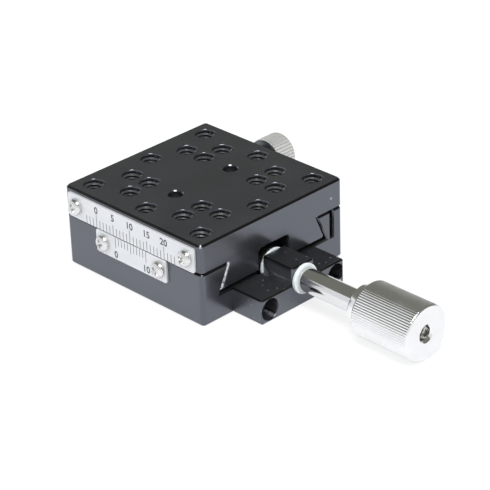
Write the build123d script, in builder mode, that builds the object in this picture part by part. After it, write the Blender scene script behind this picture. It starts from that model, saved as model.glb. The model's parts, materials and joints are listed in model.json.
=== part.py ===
from build123d import *
from math import pi, radians, sqrt, tan
import os

# Precision slide table: a dovetail stage with a feed screw, a vernier and a clamp.
# X runs along the travel towards the feed knob, Y across it towards the clamp knob, Z up.
# The origin is the centre of the base's bottom face. All sizes are in millimetres.

os.makedirs("parts", exist_ok=True)

# Overall
table_length = 40.0
table_width = 40.0
overall_height = 18.0
base_height = 11.6
corner_radius = 1.0
block_chamfer = 0.4

# Clearances
slide_gap = 0.10
flank_gap = 0.05
floor_gap = 0.60
running_gap = 0.05
thrust_gap = 0.05
seat_gap = 0.02
pocket_gap = 0.10
head_gap = 0.30

# Metric screws: thread radius, heads and sockets
m2_thread_radius = 1.0
m2_head_radius = 1.9
m2_head_height = 2.0
m2_socket_width = 1.5
m2_pan_radius = 1.75
m2_pan_height = 1.3
m2_pan_bevel = 0.5
m2_recess_span = 1.8
m2_recess_width = 0.5
m2_recess_depth = 0.8
m3_thread_radius = 1.5
m3_head_radius = 2.75
m3_head_height = 2.0
m3_socket_width = 2.0
m3_set_socket_width = 1.5
m3_set_socket_depth = 1.3

# Dovetail way, and the thin jaw that a slot frees on the clamp side
dovetail_angle = 65.0
dovetail_neck = 25.0
dovetail_depth = 5.6
dovetail_chamfer = 0.5
jaw_foot = 1.0
jaw_slot_width = 0.9
jaw_slot_drop = 0.1

# Travel to each side, and what is left before the nut meets its stops
travel = 7.0
stop_margin = 0.5

# Feed screw, along X
screw_height = 6.0
thread_radius = 2.9
thread_bevel = 0.6
collar_radius = 3.6
journal_radius = 2.0
sleeve_radius = 2.5
sleeve_length = 14.8

# Feed knob, with a straight knurl and a hub behind it
knob_radius = 5.9
knob_length = 14.3
knob_hub_radius = 4.3
knob_hub_length = 2.2
knob_front_wall = 6.1
knob_flute_pitch = 0.515
knob_back_bevel = 0.5
knob_front_bevel = 0.25
knob_screw_length = 4.0
flute_share = 0.45
flute_cover = 0.03

# End bracket that carries the feed screw
bracket_depth = 8.0
bracket_width = 23.5
bracket_height = 5.5
bearing_width = 6.2
bearing_cover = 3.15
bracket_chamfer = 0.3
bracket_screw_spread = 18.8
bracket_screw_length = 8.0
bracket_web = 3.0
bracket_hole_depth = 6.0

# Nylon thrust washers
rear_washer_radius = 3.6
rear_washer_thickness = 0.5
front_washer_radius = 3.2
front_washer_thickness = 0.8

# Feed nut, screwed up into the table
nut_length = 12.0
nut_width = 8.0
nut_floor_gap = 0.8
nut_ear_length = 8.4
nut_ear_margin = 3.25
nut_ear_thickness = 3.5
nut_screw_length = 8.0
nut_screw_sink = 0.1

# Open channel under the table, and the groove below it in the base
channel_side_gap = 0.2
channel_roof_gap = 1.5
channel_corner = 0.9
groove_side_gap = 0.5
groove_floor_gap = 1.0

# Tapped holes of the top: a three by three ring without its middle, and four groups of three
outer_pitch = 31.5
middle_pitch = 26.0
inner_pitch = 15.5
tapped_radius = 1.75
tapped_depth = 5.5

# Tapped holes of the bottom
base_hole_pitch = 28.0
base_hole_radius = 1.3
base_hole_depth = 4.5

# Scale plates on the front
plate_thickness = 0.5
plate_corner = 0.6
plate_edge_gap = 0.05
plate_screw_length = 2.2
plate_hole_depth = 1.9
scale_length = 37.2
scale_height = 5.4
scale_screw_spread = 32.4
vernier_length = 20.8
vernier_height = 5.1
vernier_screw_spread = 16.5

# Clamp
clamp_x = -11.5
clamp_thread_radius = 2.0
clamp_pad_radius = 1.95
clamp_pad_thickness = 1.0
clamp_pad_lift = 0.40
clamp_face_gap = 0.60
clamp_neck_radius = 3.0
clamp_neck_length = 8.3
clamp_head_radius = 4.4
clamp_head_length = 5.6
clamp_head_bevel = 0.3
clamp_stud_depth = 11.0
clamp_flute_pitch = 0.77

# Set screws that preload the jaw, at the clamp's spacing along the way
set_screw_xs = (0.0, 11.5)
set_screw_length = 3.0

# Places that follow from the sizes above
half_length = table_length / 2
half_width = table_width / 2
front_face = -half_width
table_underside = base_height + slide_gap
dovetail_bottom = table_underside - dovetail_depth
way_floor = dovetail_bottom - floor_gap
bracket_front = half_length + bracket_depth
bracket_screw_height = bracket_height / 2
bearing_top = screw_height + bearing_cover
front_washer_front = bracket_front + front_washer_thickness
rear_washer_back = half_length - rear_washer_thickness
collar_front = rear_washer_back - thrust_gap
stop_reach = nut_length / 2 + travel + stop_margin
sleeve_back = front_washer_front + thrust_gap
hub_back = sleeve_back + sleeve_length
knob_back = hub_back + knob_hub_length
knob_front = knob_back + knob_length
shaft_end = knob_front - knob_front_wall
channel_width = nut_width + 2 * channel_side_gap
channel_top = screw_height + rear_washer_radius + channel_roof_gap
groove_width = nut_width + 2 * groove_side_gap
groove_floor = screw_height - rear_washer_radius - groove_floor_gap
nut_bottom = groove_floor + nut_floor_gap
nut_ear_top = dovetail_bottom + nut_ear_thickness
nut_ear_span = inner_pitch + 2 * nut_ear_margin
nut_screw_head = dovetail_bottom + m3_head_height + nut_screw_sink
scale_middle = table_underside + plate_edge_gap + scale_height / 2
vernier_middle = base_height - plate_edge_gap - vernier_height / 2
jaw_slot_inner = dovetail_neck / 2 + (table_underside - way_floor) / tan(radians(dovetail_angle)) + jaw_foot
jaw_slot_floor = way_floor - jaw_slot_drop
jaw_wall = half_width - jaw_slot_inner
jaw_screw_height = (way_floor + base_height) / 2
clamp_pad_face = jaw_slot_inner + clamp_pad_lift
clamp_stud_tip = clamp_pad_face + clamp_pad_thickness + thrust_gap
clamp_neck_face = half_width + clamp_face_gap
clamp_head_face = clamp_neck_face + clamp_neck_length
clamp_head_end = clamp_head_face + clamp_head_length

# Working planes: along the feed screw, and out of the clamp side
screw_plane = Plane((0, 0, screw_height), x_dir=(0, 1, 0), z_dir=(1, 0, 0))
screw_axis = Axis((0, 0, screw_height), (1, 0, 0))
clamp_plane = Plane((clamp_x, 0, jaw_screw_height), x_dir=(1, 0, 0), z_dir=(0, 1, 0))
clamp_axis = Axis((clamp_x, 0, jaw_screw_height), (0, 1, 0))


def dovetail_half_width(height, gap=0.0):
    """Half the width of the dovetail at a height, or of the way that leaves it a gap."""
    below_root = table_underside - height
    return dovetail_neck / 2 + below_root / tan(radians(dovetail_angle)) + gap


def dovetail_section(top, bottom, gap=0.0):
    """Section of the dovetail between two heights, drawn across the travel."""
    upper = dovetail_half_width(top, gap)
    lower = dovetail_half_width(bottom, gap)
    Polygon((-upper, top), (upper, top), (lower, bottom), (-lower, bottom), align=None)


def pair(spread):
    """Both ends of a spread about the middle."""
    return (-spread / 2, spread / 2)


def end_places(x):
    """Places of the bracket's two screws, facing out along the travel."""
    return [Plane((x, y, bracket_screw_height), z_dir=(1, 0, 0)) for y in pair(bracket_screw_spread)]


def front_places(spread, height, lift=0.0):
    """Places of a scale plate's two screws, facing out of the front."""
    return [Plane((x, front_face - lift, height), z_dir=(0, -1, 0)) for x in pair(spread)]


def side_place(x, y):
    """Place of a screw through the jaw's wall, facing out of the clamp side."""
    return Plane((x, y, jaw_screw_height), z_dir=(0, 1, 0))


def nut_places(height):
    """Places of the nut's two screws, facing down."""
    return [Plane((0, y, height), z_dir=(0, 0, -1)) for y in pair(inner_pitch)]


def top_hole_places():
    """Centres of the tapped holes of the top, apart from the two that hold the nut."""
    outer = outer_pitch / 2
    middle = middle_pitch / 2
    inner = inner_pitch / 2
    ring = [(x, y) for x in (-outer, 0, outer) for y in (-outer, 0, outer) if (x, y) != (0, 0)]
    corner = [(inner, inner), (middle, inner), (inner, middle)]
    groups = [(right * x, back * y) for right in (-1, 1) for back in (-1, 1) for x, y in corner]
    return ring + groups


def cap_screw(thread, head, head_height, socket, length):
    """Socket head cap screw along Z: the head stands up from the origin."""
    with BuildPart() as screw:
        with BuildSketch():
            Circle(head)
        extrude(amount=head_height)
        with BuildSketch(Plane.XY.offset(head_height)):
            RegularPolygon(socket / 2, 6, major_radius=False)
        extrude(amount=-head_height / 2, mode=Mode.SUBTRACT)
        with BuildSketch():
            Circle(thread)
        extrude(amount=-length)
    return screw.part


def pan_screw(length):
    """Pan head screw with a cross recess along Z: the head stands up from the origin."""
    with BuildPart() as screw:
        with BuildSketch():
            Circle(m2_pan_radius)
        extrude(amount=m2_pan_height)
        chamfer(screw.faces().sort_by(Axis.Z)[-1].edges(), length=m2_pan_bevel)
        with BuildSketch(Plane.XY.offset(m2_pan_height)):
            Rectangle(m2_recess_span, m2_recess_width)
            Rectangle(m2_recess_width, m2_recess_span)
        extrude(amount=-m2_recess_depth, mode=Mode.SUBTRACT)
        with BuildSketch():
            Circle(m2_thread_radius)
        extrude(amount=-length)
    return screw.part


def set_screw(length):
    """Socket set screw along Z from the origin down, with its socket on top."""
    with BuildPart() as screw:
        with BuildSketch():
            Circle(m3_thread_radius)
        extrude(amount=-length)
        with BuildSketch():
            RegularPolygon(m3_set_socket_width / 2, 6, major_radius=False)
        extrude(amount=-m3_set_socket_depth, mode=Mode.SUBTRACT)
    return screw.part


def flute_root(radius, pitch):
    """Radius at the bottom of a straight knurl's V grooves."""
    return radius - flute_share * pitch


def fluted_disc(radius, pitch):
    """Sketch of a straight knurl: a star of ridges with a V groove between each two."""
    ridges = round(2 * pi * radius / pitch)
    tip = Vector(radius, 0)
    root = Vector(flute_root(radius, pitch), 0)
    step = 180 / ridges
    rim = [(root if turn % 2 else tip).rotate(Axis.Z, turn * step) for turn in range(2 * ridges)]
    Polygon(*rim, align=None)


# Base: a block with the dovetail way, the jaw slot, the screw groove and its tapped holes
with BuildPart() as base_block:
    with BuildSketch():
        RectangleRounded(table_length, table_width, corner_radius)
    extrude(amount=base_height)
    chamfer(base_block.faces().filter_by(Axis.Z).edges(), length=block_chamfer)
    with BuildSketch(Plane.YZ.offset(-half_length)):
        dovetail_section(base_height, way_floor, flank_gap)
    extrude(amount=table_length, mode=Mode.SUBTRACT)
    # The slot that frees the jaw
    with BuildSketch(Plane.XY.offset(jaw_slot_floor)):
        with Locations((0, jaw_slot_inner + jaw_slot_width / 2)):
            Rectangle(table_length, jaw_slot_width)
    extrude(amount=base_height - jaw_slot_floor, mode=Mode.SUBTRACT)
    # Groove for the nut and the feed screw, round at its blind end
    groove_blind = sqrt((groove_width / 2) ** 2 - (nut_width / 2) ** 2)
    groove_centre = groove_blind - stop_reach
    with BuildSketch(Plane.XY.offset(groove_floor)):
        with Locations(((groove_centre + half_length) / 2, 0)):
            Rectangle(half_length - groove_centre, groove_width)
        with Locations((groove_centre, 0)):
            Circle(groove_width / 2)
    extrude(amount=way_floor - groove_floor, mode=Mode.SUBTRACT)
    # Tapped holes: bracket, vernier plate, jaw screws, clamp and the four of the bottom
    with Locations(end_places(half_length)):
        Hole(m2_thread_radius + seat_gap, depth=bracket_hole_depth)
    with Locations(front_places(vernier_screw_spread, vernier_middle)):
        Hole(m2_thread_radius + seat_gap, depth=plate_hole_depth)
    with Locations([side_place(x, half_width) for x in set_screw_xs]):
        Hole(m3_thread_radius + seat_gap, depth=jaw_wall)
    with Locations(side_place(clamp_x, half_width)):
        Hole(clamp_thread_radius + running_gap, depth=jaw_wall)
    with Locations(Plane.XY.rotated((180, 0, 0))):
        with GridLocations(base_hole_pitch, base_hole_pitch, 2, 2):
            Hole(base_hole_radius, depth=base_hole_depth)
base_block.part.label = "base_block"

# End bracket: two arms bolted to the base and the bearing block between them
with BuildPart() as end_bracket:
    with BuildSketch(Plane.YZ.offset(half_length)):
        with Locations((0, bracket_height / 2)):
            Rectangle(bracket_width, bracket_height)
        with Locations((0, bearing_top / 2)):
            Rectangle(bearing_width, bearing_top)
    extrude(amount=bracket_depth)
    front_rim = end_bracket.faces().sort_by(Axis.X)[-1].edges()
    side_faces = end_bracket.faces().filter_by(Axis.Y).sort_by(Axis.Y)
    arm_ends = [side_faces[0], side_faces[-1]]
    upright_rims = [edge for face in arm_ends for edge in face.edges().filter_by(Axis.X)]
    bearing_rims = end_bracket.faces().sort_by(Axis.Z)[-1].edges().filter_by(Axis.X)
    chamfer(front_rim + upright_rims + bearing_rims, length=bracket_chamfer)
    with BuildSketch(screw_plane.offset(half_length)):
        Circle(journal_radius + running_gap)
    extrude(amount=bracket_depth, mode=Mode.SUBTRACT)
    with Locations(end_places(bracket_front)):
        CounterBoreHole(
            m2_thread_radius + pocket_gap,
            m2_head_radius + head_gap,
            bracket_depth - bracket_web,
        )
end_bracket.part.label = "end_bracket"

with BuildPart() as bracket_screws:
    with Locations(end_places(half_length + bracket_web)):
        add(
            cap_screw(
                m2_thread_radius, m2_head_radius, m2_head_height, m2_socket_width, bracket_screw_length
            )
        )
bracket_screws.part.label = "bracket_screws"

# Nylon thrust washers before and behind the bearing block
with BuildPart() as rear_thrust_washer:
    with BuildSketch(screw_plane.offset(rear_washer_back)):
        Circle(rear_washer_radius)
        Circle(journal_radius + pocket_gap, mode=Mode.SUBTRACT)
    extrude(amount=rear_washer_thickness)
rear_thrust_washer.part.label = "rear_thrust_washer"

with BuildPart() as front_thrust_washer:
    with BuildSketch(screw_plane.offset(bracket_front)):
        Circle(front_washer_radius)
        Circle(journal_radius + pocket_gap, mode=Mode.SUBTRACT)
    extrude(amount=front_washer_thickness)
front_thrust_washer.part.label = "front_thrust_washer"

# Jaw set screws, in the wall outside the slot, with their tips at the jaw
with BuildPart() as jaw_set_screws:
    set_screw_back = jaw_slot_inner + thrust_gap + set_screw_length
    with Locations([side_place(x, set_screw_back) for x in set_screw_xs]):
        add(set_screw(set_screw_length))
jaw_set_screws.part.label = "jaw_set_screws"

# Vernier plate on the base, and its two screws
with BuildPart() as vernier_plate:
    with BuildSketch(Plane.XZ.offset(half_width)):
        with Locations((0, vernier_middle)):
            RectangleRounded(vernier_length, vernier_height, plate_corner)
        with Locations([(x, vernier_middle) for x in pair(vernier_screw_spread)]):
            Circle(m2_thread_radius + pocket_gap, mode=Mode.SUBTRACT)
    extrude(amount=plate_thickness)
vernier_plate.part.label = "vernier_plate"

with BuildPart() as vernier_screws:
    with Locations(front_places(vernier_screw_spread, vernier_middle, plate_thickness)):
        add(pan_screw(plate_screw_length))
vernier_screws.part.label = "vernier_screws"

# Table: the moving plate with its tapped holes, and the two that the nut's screws come up into
with BuildPart() as table_plate:
    with BuildSketch(Plane.XY.offset(table_underside)):
        RectangleRounded(table_length, table_width, corner_radius)
    extrude(amount=overall_height - table_underside)
    chamfer(table_plate.faces().sort_by(Axis.Z)[-1].edges(), length=block_chamfer)
    with Locations([(x, y, overall_height) for x, y in top_hole_places()]):
        Hole(tapped_radius, depth=tapped_depth)
    with Locations(nut_places(table_underside)):
        Hole(m3_thread_radius + seat_gap)
    with Locations(front_places(scale_screw_spread, scale_middle)):
        Hole(m2_thread_radius + seat_gap, depth=plate_hole_depth)
table_plate.part.label = "table_plate"

# Dovetail under the plate, with the channel in which the nut and the screw lie
with BuildPart() as table_dovetail:
    with BuildSketch(Plane.YZ.offset(-half_length)):
        dovetail_section(table_underside, dovetail_bottom)
    extrude(amount=table_length)
    # Its ends are bevelled, apart from the edge at the plate
    end_faces = table_dovetail.faces().filter_by(Axis.X)
    end_rims = [edge for face in end_faces for edge in face.edges().sort_by(Axis.Z)[:-1]]
    chamfer(end_rims, length=dovetail_chamfer)
    with BuildSketch(Plane.YZ.offset(-half_length)) as channel_section:
        with Locations((0, (dovetail_bottom + channel_top) / 2)):
            Rectangle(channel_width, channel_top - dovetail_bottom)
        fillet(channel_section.vertices().group_by(Axis.Y)[-1], radius=channel_corner)
    extrude(amount=table_length, mode=Mode.SUBTRACT)
    # Pocket for the nut's ears, and the holes of the screws that hold nut and dovetail up
    with BuildSketch(Plane.XY.offset(dovetail_bottom)):
        Rectangle(nut_ear_length + 2 * pocket_gap, nut_ear_span + 2 * pocket_gap)
    extrude(amount=nut_ear_top - dovetail_bottom, mode=Mode.SUBTRACT)
    with Locations(nut_places(nut_ear_top)):
        Hole(m3_thread_radius + pocket_gap)
table_dovetail.part.label = "table_dovetail"

# Scale plate on the table, and its two screws
with BuildPart() as scale_plate:
    with BuildSketch(Plane.XZ.offset(half_width)):
        with Locations((0, scale_middle)):
            RectangleRounded(scale_length, scale_height, plate_corner)
        with Locations([(x, scale_middle) for x in pair(scale_screw_spread)]):
            Circle(m2_thread_radius + pocket_gap, mode=Mode.SUBTRACT)
    extrude(amount=plate_thickness)
scale_plate.part.label = "scale_plate"

with BuildPart() as scale_screws:
    with Locations(front_places(scale_screw_spread, scale_middle, plate_thickness)):
        add(pan_screw(plate_screw_length))
scale_screws.part.label = "scale_screws"

# Feed nut: a body round the screw and two ears that are screwed up into the table
with BuildPart() as feed_nut:
    with BuildSketch(Plane.YZ.offset(-nut_length / 2)):
        with Locations((0, (nut_bottom + nut_ear_top) / 2)):
            Rectangle(nut_width, nut_ear_top - nut_bottom)
    extrude(amount=nut_length)
    with BuildSketch(Plane.XY.offset(dovetail_bottom)):
        Rectangle(nut_ear_length, nut_ear_span)
    extrude(amount=nut_ear_thickness)
    with BuildSketch(screw_plane.offset(-nut_length / 2)):
        Circle(thread_radius + running_gap)
    extrude(amount=nut_length, mode=Mode.SUBTRACT)
    with Locations(nut_places(dovetail_bottom)):
        CounterBoreHole(
            m3_thread_radius + pocket_gap,
            m3_head_radius + pocket_gap,
            m3_head_height + nut_screw_sink,
            depth=nut_ear_thickness,
        )
feed_nut.part.label = "feed_nut"

with BuildPart() as nut_screws:
    with Locations(nut_places(nut_screw_head)):
        add(cap_screw(m3_thread_radius, m3_head_radius, m3_head_height, m3_socket_width, nut_screw_length))
nut_screws.part.label = "nut_screws"

# Feed screw: threaded length, thrust collar and the long journal, turned in one piece
with BuildPart() as feed_screw:
    with BuildSketch(Plane.XZ):
        with BuildLine():
            Polyline(
                (-stop_reach, screw_height),
                (-stop_reach, screw_height + thread_radius - thread_bevel),
                (-stop_reach + thread_bevel, screw_height + thread_radius),
                (stop_reach, screw_height + thread_radius),
                (stop_reach, screw_height + collar_radius),
                (collar_front, screw_height + collar_radius),
                (collar_front, screw_height + journal_radius),
                (shaft_end - thrust_gap, screw_height + journal_radius),
                (shaft_end - thrust_gap, screw_height),
                close=True,
            )
        make_face()
    revolve(axis=screw_axis)
feed_screw.part.label = "feed_screw"

with BuildPart() as spacer_sleeve:
    with BuildSketch(screw_plane.offset(sleeve_back)):
        Circle(sleeve_radius)
        Circle(journal_radius + seat_gap, mode=Mode.SUBTRACT)
    extrude(amount=sleeve_length)
spacer_sleeve.part.label = "spacer_sleeve"

# Feed knob: a knurled band with bevelled ends before a hub, bored for the shaft and tapped from its face
with BuildPart() as feed_knob:
    with BuildSketch(screw_plane.offset(knob_back + knob_back_bevel)):
        fluted_disc(knob_radius, knob_flute_pitch)
    extrude(amount=knob_length - knob_back_bevel - knob_front_bevel)
    knob_rim = screw_height + flute_root(knob_radius, knob_flute_pitch) - flute_cover
    with BuildSketch(Plane.XZ):
        with BuildLine():
            Polyline(
                (hub_back, screw_height),
                (hub_back, screw_height + knob_hub_radius),
                (knob_back, screw_height + knob_hub_radius),
                (knob_back, knob_rim - knob_back_bevel),
                (knob_back + knob_back_bevel, knob_rim),
                (knob_front - knob_front_bevel, knob_rim),
                (knob_front, knob_rim - knob_front_bevel),
                (knob_front, screw_height),
                close=True,
            )
        make_face()
    revolve(axis=screw_axis)
    with BuildSketch(screw_plane.offset(hub_back)):
        Circle(journal_radius + seat_gap)
    extrude(amount=shaft_end - hub_back, mode=Mode.SUBTRACT)
    with Locations(screw_plane.offset(knob_front)):
        Hole(m3_thread_radius + seat_gap, depth=knob_front_wall)
feed_knob.part.label = "feed_knob"

with BuildPart() as knob_set_screw:
    with Locations(screw_plane.offset(shaft_end + knob_screw_length)):
        add(set_screw(knob_screw_length))
knob_set_screw.part.label = "knob_set_screw"

# Clamp: brass pad at the jaw, threaded stud through the wall, and the knurled clamp knob
with BuildPart() as clamp_pad:
    with BuildSketch(clamp_plane.offset(clamp_pad_face)):
        Circle(clamp_pad_radius)
    extrude(amount=clamp_pad_thickness)
clamp_pad.part.label = "clamp_pad"

with BuildPart() as clamp_stud:
    with BuildSketch(clamp_plane.offset(clamp_stud_tip)):
        Circle(clamp_thread_radius)
    extrude(amount=clamp_neck_face + clamp_stud_depth - clamp_stud_tip)
clamp_stud.part.label = "clamp_stud"

with BuildPart() as clamp_knob:
    with BuildSketch(clamp_plane.offset(clamp_head_face + clamp_head_bevel)):
        fluted_disc(clamp_head_radius, clamp_flute_pitch)
    extrude(amount=clamp_head_length - 2 * clamp_head_bevel)
    clamp_rim = clamp_x + flute_root(clamp_head_radius, clamp_flute_pitch) - flute_cover
    with BuildSketch(Plane.XY.offset(jaw_screw_height)):
        with BuildLine():
            Polyline(
                (clamp_x, clamp_head_face),
                (clamp_rim - clamp_head_bevel, clamp_head_face),
                (clamp_rim, clamp_head_face + clamp_head_bevel),
                (clamp_rim, clamp_head_end - clamp_head_bevel),
                (clamp_rim - clamp_head_bevel, clamp_head_end),
                (clamp_x, clamp_head_end),
                close=True,
            )
        make_face()
    revolve(axis=clamp_axis)
    with BuildSketch(clamp_plane.offset(clamp_neck_face)):
        Circle(clamp_neck_radius)
    extrude(amount=clamp_neck_length)
    with BuildSketch(clamp_plane.offset(clamp_neck_face)):
        Circle(clamp_thread_radius + seat_gap)
    extrude(amount=clamp_stud_depth, mode=Mode.SUBTRACT)
clamp_knob.part.label = "clamp_knob"

pieces = [
    base_block,
    end_bracket,
    bracket_screws,
    rear_thrust_washer,
    front_thrust_washer,
    jaw_set_screws,
    vernier_plate,
    vernier_screws,
    table_plate,
    table_dovetail,
    scale_plate,
    scale_screws,
    feed_nut,
    nut_screws,
    feed_screw,
    spacer_sleeve,
    feed_knob,
    knob_set_screw,
    clamp_pad,
    clamp_stud,
    clamp_knob,
]
for piece in pieces:
    export_step(piece.part, f"parts/{piece.part.label}.step")
    size = piece.part.bounding_box().size
    print(f"{piece.part.label}: {size.X:.2f} x {size.Y:.2f} x {size.Z:.2f} mm")
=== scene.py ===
# %% [markdown]
# # A precision slide table, dressed for a product photograph
# The construction is already there: every block, screw and washer arrives as a node of a fixed
# frame, in metres, at its real place. This lesson gives each surface its finish, and models the
# fine turned, knurled and threaded pieces that a plain construction model leaves smooth.

# %% Load the frame
import json
from math import cos, pi, radians, sin, tau

import bmesh
import bpy
from mathutils import Matrix, Vector


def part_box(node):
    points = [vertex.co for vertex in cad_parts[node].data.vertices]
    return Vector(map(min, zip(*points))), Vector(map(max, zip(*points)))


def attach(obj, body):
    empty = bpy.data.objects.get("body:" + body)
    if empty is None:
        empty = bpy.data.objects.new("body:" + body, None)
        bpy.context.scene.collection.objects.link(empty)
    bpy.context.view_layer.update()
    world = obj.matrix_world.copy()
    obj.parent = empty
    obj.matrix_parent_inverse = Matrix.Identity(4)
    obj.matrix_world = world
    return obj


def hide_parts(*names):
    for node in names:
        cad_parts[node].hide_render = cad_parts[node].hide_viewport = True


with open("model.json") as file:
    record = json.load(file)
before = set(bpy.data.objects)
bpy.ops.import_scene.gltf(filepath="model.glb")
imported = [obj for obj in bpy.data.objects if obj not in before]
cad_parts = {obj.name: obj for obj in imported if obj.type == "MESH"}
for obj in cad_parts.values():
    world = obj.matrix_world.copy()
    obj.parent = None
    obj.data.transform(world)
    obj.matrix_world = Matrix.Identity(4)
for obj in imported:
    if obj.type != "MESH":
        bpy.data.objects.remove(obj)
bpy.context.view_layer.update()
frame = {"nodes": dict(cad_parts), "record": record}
nodes = frame["nodes"]
MM = 0.001

# %% [markdown]
# ## Where things are
# A piece that is fitted to the frame takes its place from the frame's own boxes. Asking for the
# box of a node is safer than typing its corners again, because the place then follows any change
# of the construction.


# %% Places read from the frame
def middle(node):
    """Centre of a node's box."""
    low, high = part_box(node)
    return (low + high) / 2


def length_of(node, axis="X"):
    """Length of a node's box along an axis, in millimetres."""
    low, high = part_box(node)
    place = "XYZ".index(axis)
    return (high[place] - low[place]) / MM


def radius_of(node):
    """Radius of a round node that lies flat, in millimetres: half the height of its box."""
    return length_of(node, "Z") / 2


table_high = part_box("table_plate")[1]
base_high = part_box("base_block")[1]
scale_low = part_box("scale_plate")[0]
vernier_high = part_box("vernier_plate")[1]
knob_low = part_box("feed_knob")[0]
sleeve_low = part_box("spacer_sleeve")[0]
screw_low, screw_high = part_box("feed_screw")
head_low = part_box("clamp_knob")[0]
stud_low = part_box("clamp_stud")[0]
screw_height = middle("feed_screw").z
clamp_centre = middle("clamp_stud")
print("top at", round(table_high.z / MM, 2), "mm, screw at", round(screw_height / MM, 2), "mm")

# %% [markdown]
# ## Shared effects
# Several finishes need the same few effects: a fine grain, wear that starts at the edges, rings
# left by a lathe tool, a little dust, and on the blocks painted shade on the chamfer faces and a few
# bare nicks that also paint glints. Each could be rebuilt in every material, but a node group is
# built once and placed with other values each time. A group hands out only masks and heights that
# vary over the surface. The shader itself stays in the material.


# %% A helper that starts a node group
def start_group(name, inputs, outputs):
    """New shader node group with named float or vector sockets, and its two end nodes."""
    group = bpy.data.node_groups.new(name, "ShaderNodeTree")
    for title, kind, value in inputs:
        socket = group.interface.new_socket(title, in_out="INPUT", socket_type=kind)
        if value is not None:
            socket.default_value = value
    for title in outputs:
        group.interface.new_socket(title, in_out="OUTPUT", socket_type="NodeSocketFloat")
    return group, group.nodes.new("NodeGroupInput"), group.nodes.new("NodeGroupOutput")


def maths(tree, operation, first, second=None, clamp=False):
    """Math node: each operand is a number or another node's output."""
    node = tree.nodes.new("ShaderNodeMath")
    node.operation = operation
    node.use_clamp = clamp
    for socket, value in zip(node.inputs, (first, second)):
        if isinstance(value, bpy.types.NodeSocket):
            tree.links.new(value, socket)
        elif value is not None:
            socket.default_value = value
    return node.outputs[0]


def ramp(tree, value, low, high, out_low=0.0, out_high=1.0):
    """Map a value from one range to another, clamped at both ends."""
    node = tree.nodes.new("ShaderNodeMapRange")
    tree.links.new(value, node.inputs["Value"])
    for title, number in zip(("From Min", "From Max", "To Min", "To Max"), (low, high, out_low, out_high)):
        node.inputs[title].default_value = number
    return node.outputs["Result"]


FLOAT = "NodeSocketFloat"
VECTOR = "NodeSocketVector"


# %% Grain: a fine, slightly uneven surface
def build_grain():
    """Noise in two sizes: a height for bump, and a slow drift for colour and roughness."""
    group, source, sink = start_group(
        "Fine grain",
        [("Vector", VECTOR, None), ("Scale", FLOAT, 9000.0), ("Drift scale", FLOAT, 160.0)],
        ["Height", "Drift"],
    )
    for title, scale, detail in (("Height", "Scale", 2.0), ("Drift", "Drift scale", 4.0)):
        noise = group.nodes.new("ShaderNodeTexNoise")
        noise.inputs["Detail"].default_value = detail
        group.links.new(source.outputs["Vector"], noise.inputs["Vector"])
        group.links.new(source.outputs[scale], noise.inputs["Scale"])
        group.links.new(ramp(group, noise.outputs[0], 0.3, 0.7), sink.inputs[title])
    return group


grain_group = build_grain()


# %% Edge wear: where the dye has rubbed off
FLAT_COSINE = 0.995
EDGE_COSINE = 0.93
WEAR_CONTRAST = 6.0


def build_edge_wear():
    """Mask of edges, broken up by noise. The rounded normal differs from the true one at an edge."""
    group, source, sink = start_group(
        "Edge wear",
        [("Vector", VECTOR, None), ("Radius", FLOAT, 0.0001), ("Amount", FLOAT, 0.5)],
        ["Mask"],
    )
    rounded = group.nodes.new("ShaderNodeBevel")
    rounded.samples = 6
    group.links.new(source.outputs["Radius"], rounded.inputs["Radius"])
    true_normal = group.nodes.new("ShaderNodeNewGeometry")
    agree = group.nodes.new("ShaderNodeVectorMath")
    agree.operation = "DOT_PRODUCT"
    group.links.new(rounded.outputs["Normal"], agree.inputs[0])
    group.links.new(true_normal.outputs["Normal"], agree.inputs[1])
    edge = ramp(group, agree.outputs["Value"], FLAT_COSINE, EDGE_COSINE)
    noise = group.nodes.new("ShaderNodeTexNoise")
    noise.inputs["Scale"].default_value = 420.0
    noise.inputs["Detail"].default_value = 5.0
    group.links.new(source.outputs["Vector"], noise.inputs["Vector"])
    threshold = maths(group, "SUBTRACT", 1.0, source.outputs["Amount"])
    above = maths(group, "SUBTRACT", noise.outputs[0], threshold)
    worn = maths(group, "MULTIPLY", above, WEAR_CONTRAST, clamp=True)
    group.links.new(maths(group, "MULTIPLY", edge, worn, clamp=True), sink.inputs["Mask"])
    return group


edge_wear_group = build_edge_wear()


# %% Turning marks: rings round an axis
def build_turning():
    """Height of the rings that a lathe tool leaves, from the distance to the Z axis of its vector."""
    group, source, sink = start_group(
        "Turning marks",
        [("Vector", VECTOR, None), ("Pitch", FLOAT, 0.0001)],
        ["Height"],
    )
    split = group.nodes.new("ShaderNodeSeparateXYZ")
    group.links.new(source.outputs["Vector"], split.inputs[0])
    square = [maths(group, "MULTIPLY", split.outputs[axis], split.outputs[axis]) for axis in ("X", "Y")]
    distance = maths(group, "SQRT", maths(group, "ADD", *square))
    run = maths(group, "ADD", distance, split.outputs["Z"])
    turns = maths(group, "DIVIDE", run, source.outputs["Pitch"])
    wave = maths(group, "SINE", maths(group, "MULTIPLY", turns, tau))
    uneven = group.nodes.new("ShaderNodeTexNoise")
    uneven.noise_dimensions = "1D"
    uneven.inputs["Scale"].default_value = 0.35
    group.links.new(turns, uneven.inputs["W"])
    height = maths(group, "MULTIPLY", maths(group, "MULTIPLY_ADD", wave, 0.5), uneven.outputs[0])
    group.links.new(height, sink.inputs["Height"])
    return group


turning_group = build_turning()


# %% Dust: a few pale specks
SPECK_RIM = 0.22
SPECK_CORE = 0.10


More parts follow.
